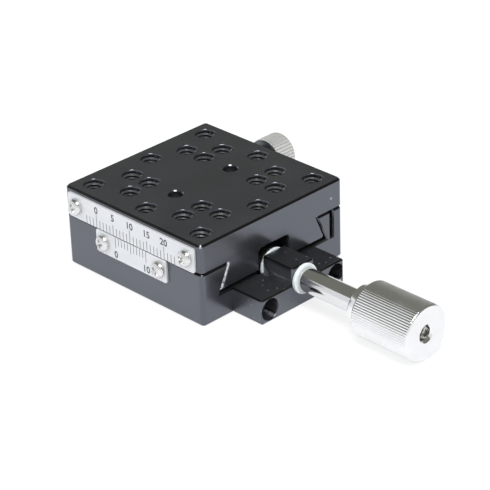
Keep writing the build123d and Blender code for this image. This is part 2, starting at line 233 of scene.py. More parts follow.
def build_dust():
    """Sparse round specks, so that a dark surface isn't sterile."""
    group, source, sink = start_group(
        "Dust",
        [("Vector", VECTOR, None), ("Scale", FLOAT, 900.0), ("Amount", FLOAT, 0.1)],
        ["Mask"],
    )
    cells = group.nodes.new("ShaderNodeTexVoronoi")
    group.links.new(source.outputs["Vector"], cells.inputs["Vector"])
    group.links.new(source.outputs["Scale"], cells.inputs["Scale"])
    split = group.nodes.new("ShaderNodeSeparateColor")
    group.links.new(cells.outputs["Color"], split.inputs[0])
    chosen = maths(group, "LESS_THAN", split.outputs[0], source.outputs["Amount"])
    speck = ramp(group, cells.outputs["Distance"], SPECK_RIM, SPECK_CORE)
    group.links.new(maths(group, "MULTIPLY", chosen, speck), sink.inputs["Mask"])
    return group


dust_group = build_dust()


# %% Chamfer faces: a mask for painted shade on the flat broken edges
CHAMFER_SLOPE = 0.62


def build_chamfers():
    """Mask of the faces that slope at 45 degrees and lie further out than a reach, in metres, where shade
    is painted.
    """
    inputs = [("Vector", VECTOR, None), ("Reach", FLOAT, 0.019)]
    group, source, sink = start_group("Painted chamfer shade", inputs, ["Mask"])
    facing = group.nodes.new("ShaderNodeNewGeometry").outputs["True Normal"]
    widest = []
    for vector in (facing, source.outputs["Vector"]):
        split = group.nodes.new("ShaderNodeSeparateXYZ")
        group.links.new(vector, split.inputs[0])
        x, y, z = (maths(group, "ABSOLUTE", split.outputs[axis]) for axis in "XYZ")
        widest.append((maths(group, "MAXIMUM", x, y), z))
    (across, upward), (outward, _) = widest
    sloping = maths(group, "GREATER_THAN", maths(group, "MINIMUM", across, upward), CHAMFER_SLOPE)
    outside = maths(group, "GREATER_THAN", outward, source.outputs["Reach"])
    group.links.new(maths(group, "MULTIPLY", sloping, outside), sink.inputs["Mask"])
    return group


chamfer_shade_group = build_chamfers()


# %% Nicks and glints: small places where the bare metal shows, some of them painted glints
# Corners whose bright spots are bare nicks that also paint glints, with their reach, in millimetres.
NICK_AND_GLINT_SPOTS = [
    ((20.0, -20.0, 18.0), 0.75),
    ((20.0, -20.0, 11.6), 0.55),
    ((20.0, 12.5, 11.6), 0.45),
    ((27.9, -16.5, 5.9), 0.45),
    ((30.0, -4.5, 11.0), 0.45),
]
NICK_AND_GLINT_CORE = 0.6
RAGGED_NOISE = (0.34, 0.60)
RAGGED_MOST = 1.3
FLANK_FOOT = Vector((20.0, -15.06, 6.1))
FLANK_TOP = Vector((20.0, -12.5, 11.6))
# Where the painted highlight strip on the flank begins and is whole, in millimetres: into the block
# from the flank's line, out of it, up from its foot, down from its top, and back from the end face.
STRIP_INWARD = (0.40, 0.28)
STRIP_OUTWARD = (-0.12, -0.02)
STRIP_FOOT = (0.0, 0.3)
STRIP_TOP = (6.2, 5.8)
STRIP_DEPTH = (0.7, 0.5)


def build_nicks():
    """Mask of bare spots and painted glints: a few knocked corners, and a painted highlight along the end
    edge of the dovetail's near flank.
    """
    group, source, sink = start_group("Bare spots and painted glints", [("Vector", VECTOR, None)], ["Mask"])
    noise = group.nodes.new("ShaderNodeTexNoise")
    noise.inputs["Scale"].default_value = 2600.0
    group.links.new(source.outputs["Vector"], noise.inputs["Vector"])
    ragged = ramp(group, noise.outputs[0], *RAGGED_NOISE, 0.0, RAGGED_MOST)

    def along(point, direction):
        """Distance of the surface from a point, measured along a direction, in millimetres."""
        offset = group.nodes.new("ShaderNodeVectorMath")
        offset.operation = "SUBTRACT"
        group.links.new(source.outputs["Vector"], offset.inputs[0])
        offset.inputs[1].default_value = point * MM
        project = group.nodes.new("ShaderNodeVectorMath")
        project.operation = "DOT_PRODUCT"
        group.links.new(offset.outputs["Vector"], project.inputs[0])
        project.inputs[1].default_value = direction / MM
        return project.outputs["Value"]

    masks = []
    for place, reach in NICK_AND_GLINT_SPOTS:
        away = group.nodes.new("ShaderNodeVectorMath")
        away.operation = "DISTANCE"
        group.links.new(source.outputs["Vector"], away.inputs[0])
        away.inputs[1].default_value = Vector(place) * MM
        masks.append(ramp(group, away.outputs["Value"], reach * MM, NICK_AND_GLINT_CORE * reach * MM))
    # The strip on the flank is a painted highlight with the look of bare metal.
    run = (FLANK_TOP - FLANK_FOOT).normalized()
    inward = run.cross(Vector((1, 0, 0)))
    height = along(FLANK_FOOT, run)
    inside = along(FLANK_FOOT, inward)
    depth = along(FLANK_FOOT, Vector((-1, 0, 0)))
    sides = [ramp(group, inside, *limits) for limits in (STRIP_INWARD, STRIP_OUTWARD)]
    strip = maths(group, "MULTIPLY", *sides)
    ends = maths(group, "MULTIPLY", *(ramp(group, height, *limits) for limits in (STRIP_FOOT, STRIP_TOP)))
    near = ramp(group, depth, *STRIP_DEPTH)
    masks.append(maths(group, "MULTIPLY", maths(group, "MULTIPLY", strip, ends), near))
    total = masks[0]
    for mask in masks[1:]:
        total = maths(group, "MAXIMUM", total, mask)
    group.links.new(maths(group, "MULTIPLY", total, ragged, clamp=True), sink.inputs["Mask"])
    return group


nick_and_glint_group = build_nicks()
print("groups:", [g.name for g in bpy.data.node_groups])

# %% [markdown]
# ## Finishes
# Every finish starts from the same three nodes: a Principled shader, the object's own coordinates
# and a Mapping node, which centres or stretches the pattern. Object coordinates are in metres here,
# so a scale of 1000 gives one cell a millimetre.


# %% Helpers that start a material
def start_material(name, centre=(0, 0, 0), turn=(0, 0, 0), stretch=(1, 1, 1), **constants):
    """Material with a mapped object coordinate. Constants go straight on the shader's sockets."""
    material = bpy.data.materials.new(name)
    material.use_nodes = True
    tree = material.node_tree
    shader = tree.nodes["Principled BSDF"]
    for title, value in constants.items():
        shader.inputs[title.replace("_", " ")].default_value = value
    place = tree.nodes.new("ShaderNodeTexCoord")
    mapping = tree.nodes.new("ShaderNodeMapping")
    mapping.vector_type = "TEXTURE"
    mapping.inputs["Location"].default_value = centre
    mapping.inputs["Rotation"].default_value = turn
    mapping.inputs["Scale"].default_value = stretch
    tree.links.new(place.outputs["Object"], mapping.inputs["Vector"])
    return material, tree, shader, mapping.outputs["Vector"]


def use_group(tree, group, vector, **values):
    """Place a shared effect in a material with its own values."""
    node = tree.nodes.new("ShaderNodeGroup")
    node.node_tree = group
    tree.links.new(vector, node.inputs["Vector"])
    for title, value in values.items():
        node.inputs[title.replace("_", " ")].default_value = value
    return node.outputs


def blend_colours(tree, factor, first, second):
    """Mix two colours, each a tuple or another node's colour output, by a mask."""
    node = tree.nodes.new("ShaderNodeMix")
    node.data_type = "RGBA"
    tree.links.new(factor, node.inputs["Factor"])
    colour_sockets = [socket for socket in node.inputs if socket.type == "RGBA"]
    for socket, value in zip(colour_sockets, (first, second)):
        if isinstance(value, bpy.types.NodeSocket):
            tree.links.new(value, socket)
        else:
            socket.default_value = (*value, 1.0)
    return next(socket for socket in node.outputs if socket.type == "RGBA")


def add_bump(tree, shader, height, distance, strength=1.0):
    """Feed a height into the shader's normal, with its depth in metres."""
    bump = tree.nodes.new("ShaderNodeBump")
    bump.inputs["Distance"].default_value = distance
    bump.inputs["Strength"].default_value = strength
    tree.links.new(height, bump.inputs["Height"])
    tree.links.new(bump.outputs["Normal"], shader.inputs["Normal"])


# %% [markdown]
# ### Black anodised aluminium
# The blocks are milled, lightly blasted and dyed black. The oxide is a hard, slightly glossy skin,
# so it is a dark dielectric with a raised index of refraction rather than a dark metal. A metal
# would lose the clear reflection of the bright surroundings on its upright sides. The chamfer faces
# get painted shade: they show as dark lines, so their mask makes them a near black metal, which
# mirrors little at a low angle. Rubbed edges show the aluminium, so the wear mask raises both colour
# and metallic there. The same bare colour also paints glints at a few corners and a highlight
# along the dovetail's near flank.


# %% Black anodised finish
def make_anodised(name, wear, dust_scale, dust_amount, rough_low, rough_high):
    """Black anodised aluminium with painted shade on its chamfer faces, worn edges, bare nicked spots that
    also paint glints, fine grain and dust.
    """
    material, tree, shader, vector = start_material(name, IOR=2.1, Specular_Tint=(0.84, 0.89, 1.0, 1.0))
    grain = use_group(tree, grain_group, vector, Scale=7000.0, Drift_scale=90.0)
    edges = use_group(tree, edge_wear_group, vector, Radius=0.00012, Amount=wear)
    bare_spots_and_glints = use_group(tree, nick_and_glint_group, vector)
    # Bare colour for rubbed edges and nicks, which also paints glints at a few corners and a highlight
    # along the dovetail's flank.
    worn = maths(tree, "MAXIMUM", edges["Mask"], bare_spots_and_glints["Mask"])
    dust = use_group(tree, dust_group, vector, Scale=dust_scale, Amount=dust_amount)
    dye = blend_colours(tree, grain["Drift"], (0.010, 0.010, 0.011), (0.015, 0.015, 0.016))
    dusty = blend_colours(tree, dust["Mask"], dye, (0.30, 0.30, 0.29))
    # Painted shade: the chamfer faces get a near black metal that darkens them.
    chamfer_shade = use_group(tree, chamfer_shade_group, vector)
    cut = blend_colours(tree, chamfer_shade["Mask"], dusty, (0.060, 0.060, 0.062))
    colour = blend_colours(tree, worn, cut, (0.60, 0.61, 0.63))
    tree.links.new(colour, shader.inputs["Base Color"])
    metal = maths(tree, "MAXIMUM", maths(tree, "MULTIPLY", worn, 0.6), chamfer_shade["Mask"])
    tree.links.new(metal, shader.inputs["Metallic"])
    rough = ramp(tree, grain["Drift"], 0.0, 1.0, rough_low, rough_high)
    tree.links.new(rough, shader.inputs["Roughness"])
    add_bump(tree, shader, grain["Height"], 0.000004, 0.5)
    return material


anodised = make_anodised("Black anodised", 0.34, 700.0, 0.004, 0.17, 0.25)
anodised_bracket = make_anodised("Black anodised bracket", 0.36, 1400.0, 0.13, 0.24, 0.33)

# %% [markdown]
# ### Satin plate
# The two scale plates are rolled aluminium with a matt clear coat. The grain runs along the plate,
# so the Mapping node stretches the noise along X.


# %% Satin plate finish
def make_plate():
    """Clear anodised sheet, with its grain along the travel."""
    material, tree, shader, vector = start_material("Satin plate", stretch=(14, 1, 1), Metallic=0.55)
    grain = use_group(tree, grain_group, vector, Scale=5200.0, Drift_scale=500.0)
    colour = blend_colours(tree, grain["Drift"], (0.62, 0.63, 0.64), (0.67, 0.68, 0.69))
    tree.links.new(colour, shader.inputs["Base Color"])
    tree.links.new(ramp(tree, grain["Height"], 0.0, 1.0, 0.36, 0.46), shader.inputs["Roughness"])
    add_bump(tree, shader, grain["Height"], 0.000003, 0.4)
    return material


satin_plate = make_plate()

# %% [markdown]
# ### Bright nickel
# Sleeve and knobs are turned, polished and nickel plated. A polished metal is mostly what it
# reflects, so its colour hardly varies. Life comes from roughness: faint turning rings, and a slow
# drift where fingers have dulled it.


# %% Bright nickel finish
def make_nickel(name, centre, turn, rough_low, rough_high, ring_depth, tone=0.76, metallic=1.0):
    """Nickel plate over turned steel, with rings round the given axis."""
    material, tree, shader, vector = start_material(name, centre=centre, turn=turn, Metallic=metallic)
    grain = use_group(tree, grain_group, vector, Scale=6000.0, Drift_scale=210.0)
    rings = use_group(tree, turning_group, vector, Pitch=0.00011)
    duller = tuple(channel * tone for channel in (0.97, 0.96, 0.93))
    brighter = tuple(channel * tone for channel in (1.05, 1.04, 1.02))
    colour = blend_colours(tree, grain["Drift"], duller, brighter)
    tree.links.new(colour, shader.inputs["Base Color"])
    tree.links.new(ramp(tree, grain["Drift"], 0.0, 1.0, rough_low, rough_high), shader.inputs["Roughness"])
    add_bump(tree, shader, rings["Height"], ring_depth)
    return material


FINE_RINGS = 0.0000003
TURNED_RINGS = 0.000001
KNOB_RINGS = 0.0000012
along_x_turn = (0, radians(90), 0)
along_y_turn = (radians(-90), 0, 0)
screw_axis_point = (0, 0, screw_height)
clamp_axis_point = (clamp_centre.x, 0, clamp_centre.z)
bright_sleeve = make_nickel("Bright sleeve", screw_axis_point, along_x_turn, 0.10, 0.16, FINE_RINGS)
bright_knob = make_nickel("Bright knob", screw_axis_point, along_x_turn, 0.13, 0.21, KNOB_RINGS, tone=0.85)
bright_clamp = make_nickel(
    "Bright clamp knob", clamp_axis_point, along_y_turn, 0.34, 0.42, TURNED_RINGS, tone=0.66, metallic=0.70
)
screw_steel = make_nickel("Turned steel", screw_axis_point, along_x_turn, 0.22, 0.34, TURNED_RINGS)
stud_steel = make_nickel("Stud steel", clamp_axis_point, along_y_turn, 0.22, 0.34, TURNED_RINGS)


# %% Finish of small nickel screws
def make_screw_nickel():
    """Barrel plated screws, with a slow drift of tone and roughness."""
    material, tree, shader, vector = start_material("Nickel screws", Metallic=1.0)
    grain = use_group(tree, grain_group, vector, Scale=5000.0, Drift_scale=900.0)
    colour = blend_colours(tree, grain["Drift"], (0.66, 0.65, 0.62), (0.80, 0.79, 0.77))
    tree.links.new(colour, shader.inputs["Base Color"])
    tree.links.new(ramp(tree, grain["Drift"], 0.0, 1.0, 0.16, 0.28), shader.inputs["Roughness"])
    add_bump(tree, shader, grain["Height"], 0.000004, 0.5)
    return material


nickel_screws = make_screw_nickel()

# %% [markdown]
# ### Nylon, bronze, black oxide and ink
# The remaining finishes are small in the picture but each still needs its own surface. Nylon lets
# a little light in, so it has a short subsurface scale. Bronze has a fine machined grain. Black
# oxide is duller than the dye of the blocks, and printed ink is dull and slightly uneven. The
# threads in the tapped holes are dark too, but smoother, so that each turn catches a line of light.


# %% Nylon finish
def make_nylon():
    """White nylon, faintly translucent."""
    material, tree, shader, vector = start_material("White nylon", Subsurface_Weight=0.25, IOR=1.53)
    shader.inputs["Subsurface Scale"].default_value = 0.0006
    shader.inputs["Subsurface Radius"].default_value = (1, 1, 1)
    grain = use_group(tree, grain_group, vector, Scale=3000.0, Drift_scale=300.0)
    colour = blend_colours(tree, grain["Drift"], (0.56, 0.60, 0.61), (0.61, 0.64, 0.65))
    tree.links.new(colour, shader.inputs["Base Color"])
    tree.links.new(ramp(tree, grain["Drift"], 0.0, 1.0, 0.42, 0.55), shader.inputs["Roughness"])
    add_bump(tree, shader, grain["Height"], 0.000006, 0.5)
    return material


white_nylon = make_nylon()


# %% Bronze finish
def make_bronze():
    """Machined bronze of the nut and the pad."""
    material, tree, shader, vector = start_material("Bronze", Metallic=1.0)
    grain = use_group(tree, grain_group, vector, Scale=4000.0, Drift_scale=200.0)
    colour = blend_colours(tree, grain["Drift"], (0.56, 0.36, 0.15), (0.68, 0.46, 0.21))
    tree.links.new(colour, shader.inputs["Base Color"])
    tree.links.new(ramp(tree, grain["Height"], 0.0, 1.0, 0.28, 0.42), shader.inputs["Roughness"])
    add_bump(tree, shader, grain["Height"], 0.000005, 0.5)
    return material


bronze = make_bronze()


# %% Black oxide, ink and thread finishes
def make_dull(name, low, high, rough_low, rough_high, metallic):
    """A dull dark finish with a slow drift of tone."""
    material, tree, shader, vector = start_material(name, Metallic=metallic)
    grain = use_group(tree, grain_group, vector, Scale=6000.0, Drift_scale=700.0)
    tree.links.new(blend_colours(tree, grain["Drift"], low, high), shader.inputs["Base Color"])
    tree.links.new(ramp(tree, grain["Drift"], 0.0, 1.0, rough_low, rough_high), shader.inputs["Roughness"])
    add_bump(tree, shader, grain["Height"], 0.000003, 0.5)
    return material


black_oxide = make_dull("Black oxide", (0.080, 0.080, 0.084), (0.120, 0.120, 0.126), 0.42, 0.54, 0.7)
dark_ink = make_dull("Dark ink", (0.030, 0.032, 0.036), (0.055, 0.057, 0.062), 0.50, 0.62, 0.0)
dark_thread = make_dull("Dark thread", (0.085, 0.085, 0.090), (0.140, 0.140, 0.148), 0.18, 0.28, 0.7)
print("materials:", len(bpy.data.materials))

# %% [markdown]
# ## Modelling helpers
# Most of the new pieces are turned, so their section is drawn once and spun round Z, where it is
# easiest to think, and a matrix then carries the finished mesh to its place. No real edge is
# perfectly sharp, so sharp rings are bevelled: the bevel catches a line of light. Recesses and
# countersinks are cut with a Boolean modifier, which keeps the meshes closed.

# %% Limits that the helpers share
MERGE = 0.001 * MM
KEEP_SHARP = radians(30)
SQUARE_ONLY = 60
RIDGE_SHARE = 0.42


# %% Turned shapes
def soften(bm, width, limit=35, chosen=None, steps=2):
    """Break the outer edges that turn by more than the limit, in degrees, and that a test picks."""
    bmesh.ops.recalc_face_normals(bm, faces=bm.faces)
    sharp = [
        edge for edge in bm.edges
        if edge.is_manifold and edge.is_convex and edge.calc_face_angle() > radians(limit)
        and (chosen is None or chosen(edge))
    ]
    bmesh.ops.bevel(
        bm, geom=sharp, offset=width * MM, segments=steps, profile=0.5, affect="EDGES", material=-1
    )


def lathe(profile, steps=96, bevel=0.0, closed=False):
    """Spin a profile of (radius, height) points, in millimetres, round Z and bevel its sharp rings."""
    bm = bmesh.new()
    verts = [bm.verts.new((radius * MM, 0, height * MM)) for radius, height in profile]
    following = verts[1:] + verts[:1] if closed else verts[1:]
    edges = [bm.edges.new(ends) for ends in zip(verts, following)]
    bmesh.ops.spin(
        bm, geom=verts + edges, cent=(0, 0, 0), axis=(0, 0, 1), angle=tau, steps=steps, use_merge=True
    )
    bmesh.ops.remove_doubles(bm, verts=bm.verts, dist=MERGE)
    bmesh.ops.recalc_face_normals(bm, faces=bm.faces)
    if bevel:
        soften(bm, bevel)
    return bm


# %% Threads
def add_ridge(bm, root, crest, pitch, start, length, steps=28):
    """Ridge of a thread along Z: a triangle from root to crest that rises by one pitch a turn."""
    half = RIDGE_SHARE * pitch
    corners = [(root, start), (crest, start + half), (root, start + 2 * half)]
    face = bm.faces.new([bm.verts.new((radius * MM, 0, height * MM)) for radius, height in corners])
    turns = (length - 2 * half) / pitch
    bmesh.ops.spin(
        bm, geom=[*face.verts, *face.edges, face], cent=(0, 0, 0), axis=(0, 0, 1), angle=tau * turns,
        dvec=(0, 0, pitch * MM / steps), steps=round(steps * turns),
    )


# %% Combining shapes
def carve(bm, cutter, operation="DIFFERENCE"):
    """Combine two closed shapes with a Boolean modifier. Both are used up, and the result returned."""
    pair = []
    for title, shape in (("body", bm), ("cutter", cutter)):
        mesh = bpy.data.meshes.new(title)
        shape.to_mesh(mesh)
        shape.free()
        pair.append(bpy.data.objects.new(title, mesh))
        bpy.context.scene.collection.objects.link(pair[-1])
    modifier = pair[0].modifiers.new("cut", "BOOLEAN")
    modifier.operation = operation
    modifier.solver = "EXACT"
    modifier.object = pair[1]
    bpy.context.view_layer.update()
    evaluated = pair[0].evaluated_get(bpy.context.evaluated_depsgraph_get())
    result = bmesh.new()
    result.from_mesh(evaluated.data)
    for thing in pair:
        mesh = thing.data
        bpy.data.objects.remove(thing)
        bpy.data.meshes.remove(mesh)
    bmesh.ops.remove_doubles(result, verts=result.verts, dist=MERGE)
    return result


def repeated(shape, matrices):
    """One bmesh with a copy of a shape at each matrix. The shape is used up."""
    pattern = bpy.data.meshes.new("pattern")
    shape.to_mesh(pattern)
    shape.free()
    whole = bmesh.new()
    for matrix in matrices:
        before = set(whole.verts)
        whole.from_mesh(pattern)
        bmesh.ops.transform(whole, matrix=matrix, verts=[v for v in whole.verts if v not in before])
    bpy.data.meshes.remove(pattern)
    return whole


def copied(node):
    """Copy of a construction node: its loose triangles are merged and its flat faces made whole."""
    bm = bmesh.new()
    bm.from_mesh(nodes[node].data)
    bmesh.ops.remove_doubles(bm, verts=bm.verts, dist=MERGE)
    bmesh.ops.dissolve_limit(bm, angle_limit=radians(1), verts=bm.verts, edges=bm.edges)
    return bm


# %% Placing and finishing a piece
def placed(axis, point, twist=0.0):
    """Matrix that turns the lathe's Z to an axis of the object and moves it to a point, in metres."""
    turns = {
        "X": Matrix.Rotation(pi / 2, 4, "Y"),
        "Y": Matrix.Rotation(-pi / 2, 4, "X"),
        "-Y": Matrix.Rotation(pi / 2, 4, "X"),
        "Z": Matrix.Identity(4),
        "-Z": Matrix.Rotation(pi, 4, "X"),
    }
    return Matrix.Translation(point) @ turns[axis] @ Matrix.Rotation(twist, 4, "Z")


def on_screw(x, twist=0.0):
    """Place on the feed screw's axis, at a distance along it in metres."""
    return placed("X", (x, 0, screw_height), twist)


def add_piece(name, bm, finish, body, replaced=(), matrix=None):
    """Make a bmesh a piece: placed, shaded, finished, riding on its body and standing for nodes."""
    if matrix is not None:
        bmesh.ops.transform(bm, matrix=matrix, verts=bm.verts)
    bmesh.ops.recalc_face_normals(bm, faces=bm.faces)
    open_edges = sum(not edge.is_manifold for edge in bm.edges)
    mesh = bpy.data.meshes.new(name)
    bm.to_mesh(mesh)
    bm.free()
    mesh.shade_smooth()
    mesh.set_sharp_from_angle(angle=KEEP_SHARP)
    mesh.materials.append(finish)
    piece = bpy.data.objects.new(name, mesh)
    bpy.context.scene.collection.objects.link(piece)
    even = piece.modifiers.new("even normals", "WEIGHTED_NORMAL")
    even.weight = 100
    even.keep_sharp = True
    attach(piece, body)
    if replaced:
        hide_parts(*replaced)
    print(f"{name}: {len(mesh.polygons)} faces, {open_edges} open edges")


# %% [markdown]
# ## The milled blocks
# Table, base and bracket have their true shape in the construction, with a flat chamfer along most
# of their long edges. What they lack is what a machinist does last: every tapped hole is
# countersunk a little, and an outer edge that is still square is broken. Both catch the light, so
# both are cut into a copy of the node. A cone, spun from a short profile, stands in each hole and is
# subtracted, and the square outer edges are bevelled afterwards.


# %% Hole patterns, as the frame's record gives them
def hole_places(mount):
    """Centres of a bolt pattern's holes, in metres, from its spacing along X and Y."""
    dims = mount["dims"]
    halves = [dims.get(f"spacing_{axis}_mm", 0) / 2 for axis in "xy"]
    xs, ys = ((-half, half) if half else (0,) for half in halves)
    return [Vector(mount["pos_m"]) + Vector((x, y, 0)) * MM for x in xs for y in ys]


patterns = [mount for mount in frame["record"]["mounts"] if mount["kind"] == "bolt_pattern"]
top_holes = [point for mount in patterns if mount["axis"][2] > 0 for point in hole_places(mount)]
bottom_holes = [point for mount in patterns if mount["axis"][2] < 0 for point in hole_places(mount)]
top_radius = next(mount["dims"]["hole_r_mm"] for mount in patterns if mount["axis"][2] > 0)
bottom_radius = next(mount["dims"]["hole_r_mm"] for mount in patterns if mount["axis"][2] < 0)
print("tapped holes:", len(top_holes), "in the top,", len(bottom_holes), "below")


# %% Countersinks and broken edges
CLEAR = 0.3
EDGE_BREAK = 0.26
SMALL_RIM = 0.22
M4_PITCH = 0.7
TOP_ROOT = 2.0
TOP_RIM = 0.26
TOP_DEPTH = 5.2


def countersunk(block, radius, places):
    """The block with a 45 degree cone cut at the mouth of each hole. The cone stands clear of it."""
    mouth = radius + SMALL_RIM
    cone = lathe([(0, -mouth), (mouth + CLEAR, CLEAR), (0, CLEAR)], steps=48)
    return carve(block, repeated(cone, places))


def tapped_hole():
    """Cutter for a tapped hole of the top: the thread's outer radius, with a narrow countersink."""
    wall = [(0, -TOP_DEPTH), (TOP_ROOT, -TOP_DEPTH), (TOP_ROOT, -TOP_RIM)]
    return lathe(wall + [(TOP_ROOT + TOP_RIM + CLEAR, CLEAR), (0, CLEAR)], steps=48)


def outer_edge(edge):
    """True for an edge on the outside of a block, away from its tapped holes."""
    return all(max(abs(vert.co.x), abs(vert.co.y)) > table_high.x - MM for vert in edge.verts)


NUT_HOLE_RADIUS = 1.52
nut_screw_low, nut_screw_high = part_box("nut_screws")
nut_head_radius = (nut_screw_high.x - nut_screw_low.x) / 2
nut_screw_spread = nut_screw_high.y - nut_head_radius
nut_hole_places = [Vector((0, side * nut_screw_spread, table_high.z)) for side in (-1, 1)]

# %% [markdown]
# ### Table
# The construction keeps the plate and the dovetail under it apart. The real table is milled from one
# block, so the two copies are united first, and no seam is left between them.


# %% Table, milled from one block
def make_table():
    """The moving block: plate and dovetail in one, countersunk holes and broken outer edges."""
    block = carve(copied("table_plate"), copied("table_dovetail"), "UNION")
    block = carve(block, repeated(tapped_hole(), [placed("Z", at) for at in top_holes]))
    block = countersunk(block, NUT_HOLE_RADIUS, [placed("Z", at) for at in nut_hole_places])
    soften(block, EDGE_BREAK, limit=SQUARE_ONLY, chosen=outer_edge, steps=1)
    replaced = ("table_plate", "table_dovetail")
    add_piece("table_body", block, anodised, "table", replaced)


make_table()

# %% [markdown]
# ### Base
# The base gets the same treatment: small countersinks at the four holes below, at the two set
# screws of the jaw and at the clamp's hole on the far side.

# %% Places on the clamp side of the base
jaw_low, jaw_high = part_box("jaw_set_screws")
jaw_height = (jaw_low.z + jaw_high.z) / 2
jaw_radius = (jaw_high.z - jaw_low.z) / 2
jaw_screw_xs = (jaw_low.x + jaw_radius, jaw_high.x - jaw_radius)
clamp_x = clamp_centre.x
CLAMP_HOLE_RADIUS = 2.05
JAW_HOLE_RADIUS = 1.52


def on_clamp(y):
    """Place on the clamp's axis, at a distance along Y in metres."""
    return placed("Y", (clamp_x, y, jaw_height))


# %% Base block
def make_base():
    """The fixed block with countersunk holes and broken outer edges."""
    block = countersunk(copied("base_block"), bottom_radius, [placed("-Z", at) for at in bottom_holes])
    jaw_mouths = [placed("Y", (x, base_high.y, jaw_height)) for x in jaw_screw_xs]
    block = countersunk(block, JAW_HOLE_RADIUS, jaw_mouths)
    block = countersunk(block, CLAMP_HOLE_RADIUS, [on_clamp(base_high.y)])
    soften(block, EDGE_BREAK, limit=SQUARE_ONLY, chosen=outer_edge, steps=1)
    add_piece("base_body", block, anodised, "base", ("base_block",))


make_base()

# %% [markdown]
# ### Bracket
# The bracket's counterbores open towards the knob. Their rims show as thin bright rings in the
# picture, so each gets a narrow countersink of its own.

# %% Places of the bracket's screws
bracket_low, bracket_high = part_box("end_bracket")
cap_low, cap_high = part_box("bracket_screws")
cap_radius = (cap_high.z - cap_low.z) / 2
cap_height = (cap_high.z + cap_low.z) / 2
cap_ys = (cap_low.y + cap_radius, cap_high.y - cap_radius)
COUNTERBORE_RADIUS = 2.2


def free_edge(edge):
    """True for a long edge of the bracket that doesn't lie against the base."""
    return edge.calc_length() > MM and any(vert.co.x > bracket_low.x + MERGE for vert in edge.verts)


# %% Bracket
def make_bracket():
    """The bolted end piece, with its counterbores' rims and its square edges broken."""
    mouths = [placed("X", (bracket_high.x, y, cap_height)) for y in cap_ys]
    block = countersunk(copied("end_bracket"), COUNTERBORE_RADIUS, mouths)
    soften(block, EDGE_BREAK, limit=SQUARE_ONLY, chosen=free_edge, steps=1)
    add_piece("bracket_body", block, anodised_bracket, "base", ("end_bracket",))


make_bracket()

# %% [markdown]
# ## Threads
# A thread is a ridge that climbs round a cylinder. A triangle is spun with a rise of one pitch for
# each turn, which gives the whole ridge as one closed shape. In a hole the ridge stands inwards and
# its foot is sunk a little in the wall. On a screw it stands outwards. The ridges of all holes are
# one piece, because they are many and small.

# %% Threads in the tapped holes
M3_PITCH = 0.5
FOOT = 0.03
RIDGE_GAP = 0.1
TAP_HEIGHT = 0.12
TOP_THREAD_START = 0.2
BOTTOM_DEPTH = 4.5


def tapped_ridge(root, crest, pitch, depth, rim):
    """Thread of one hole along Z, its mouth at the origin: from near the bottom up to the rim."""
    bm = bmesh.new()
    add_ridge(bm, root + FOOT, crest, pitch, RIDGE_GAP - depth, depth - RIDGE_GAP - rim)
    return bm


top_ridge = tapped_ridge(TOP_ROOT, top_radius - TAP_HEIGHT, M4_PITCH, TOP_DEPTH, TOP_THREAD_START)
top_threads = repeated(top_ridge, [placed("Z", at) for at in top_holes])
add_piece("table_threads", top_threads, dark_thread, "table")
bottom_threads = repeated(
    tapped_ridge(bottom_radius, bottom_radius - TAP_HEIGHT, M3_PITCH, BOTTOM_DEPTH, SMALL_RIM),
    [placed("-Z", at) for at in bottom_holes],
)
add_piece("base_threads", bottom_threads, dark_thread, "base")

# %% [markdown]
# ## Screws
# Three kinds hold the table together. Socket cap screws are turned with a sharp rim that is just
# broken, and a hexagon is cut into the head. Set screws have no head, only the hexagon. The pan
# heads of the scale plates are domed and have a tapered cross, so their recess is cut by two crossed
# wedges. All of them are made along Z with the seat of the head at the origin.


# %% Sockets and the wedges of a cross recess
def hexagon(across, depth, top):
    """Cutter for a hexagon socket that starts above a height and goes a depth below it."""
    bm = bmesh.new()
    corner = across / 2 / cos(pi / 6) * MM
    bmesh.ops.create_cone(
        bm, cap_ends=True, segments=6, radius1=corner, radius2=corner, depth=(depth + CLEAR) * MM,
        matrix=Matrix.Translation((0, 0, (top + (CLEAR - depth) / 2) * MM)),
    )
    return bm


RECESS_SPAN = 2.15
RECESS_WIDTH = 0.62
RECESS_DEPTH = 0.62
RECESS_FOOT = (0.45, 0.65)


def wedge(top):
    """Cutter for one arm pair of a cross recess. Its foot is a share as long and wide as its mouth."""
    bm = bmesh.new()
    made = bmesh.ops.create_cube(bm, size=1.0)["verts"]
    for vert in made:
        low = vert.co.z < 0
        along, across = (
            share if low else 1.0 + CLEAR / RECESS_DEPTH * (1 - share) for share in RECESS_FOOT
        )
        vert.co.x *= RECESS_SPAN * along * MM
        vert.co.y *= RECESS_WIDTH * across * MM
        vert.co.z = (top - RECESS_DEPTH if low else top + CLEAR) * MM
    return bm


# %% The three kinds of screw
THREAD_HEIGHT = 0.15
TIP_GAP = 0.25
HEAD_ROUND = 0.1
SOCKET_SHARE = 0.55
SET_SOCKET_DEPTH = 1.3
PAN_RIM = 0.06


def screw_shank(radius, length, tip=0.2):
    """Profile of a shank from its tip up to the seat."""
    return [(0, -length), (radius - tip, -length), (radius, tip - length), (radius, 0)]


def cap_screw(thread, head, height, socket, length, pitch):
    """Socket head cap screw along Z, its head standing up from the origin."""
    core = thread - THREAD_HEIGHT
    profile = screw_shank(core, length) + [(head, 0), (head, height), (0, height)]
    bm = carve(lathe(profile, bevel=HEAD_ROUND), hexagon(socket, SOCKET_SHARE * height, height))
    add_ridge(bm, core - FOOT, thread, pitch, TIP_GAP - length, length - TIP_GAP)
    return bm


def set_screw(thread, socket, length, pitch):
    """Socket set screw along Z, from the origin down, with its socket at the top."""
    core = thread - THREAD_HEIGHT
    shank = lathe(screw_shank(core, length) + [(0, 0)], bevel=HEAD_ROUND)
    bm = carve(shank, hexagon(socket, SET_SOCKET_DEPTH, 0))
    add_ridge(bm, core - FOOT, thread, pitch, TIP_GAP - length, length - 2 * TIP_GAP)
    return bm


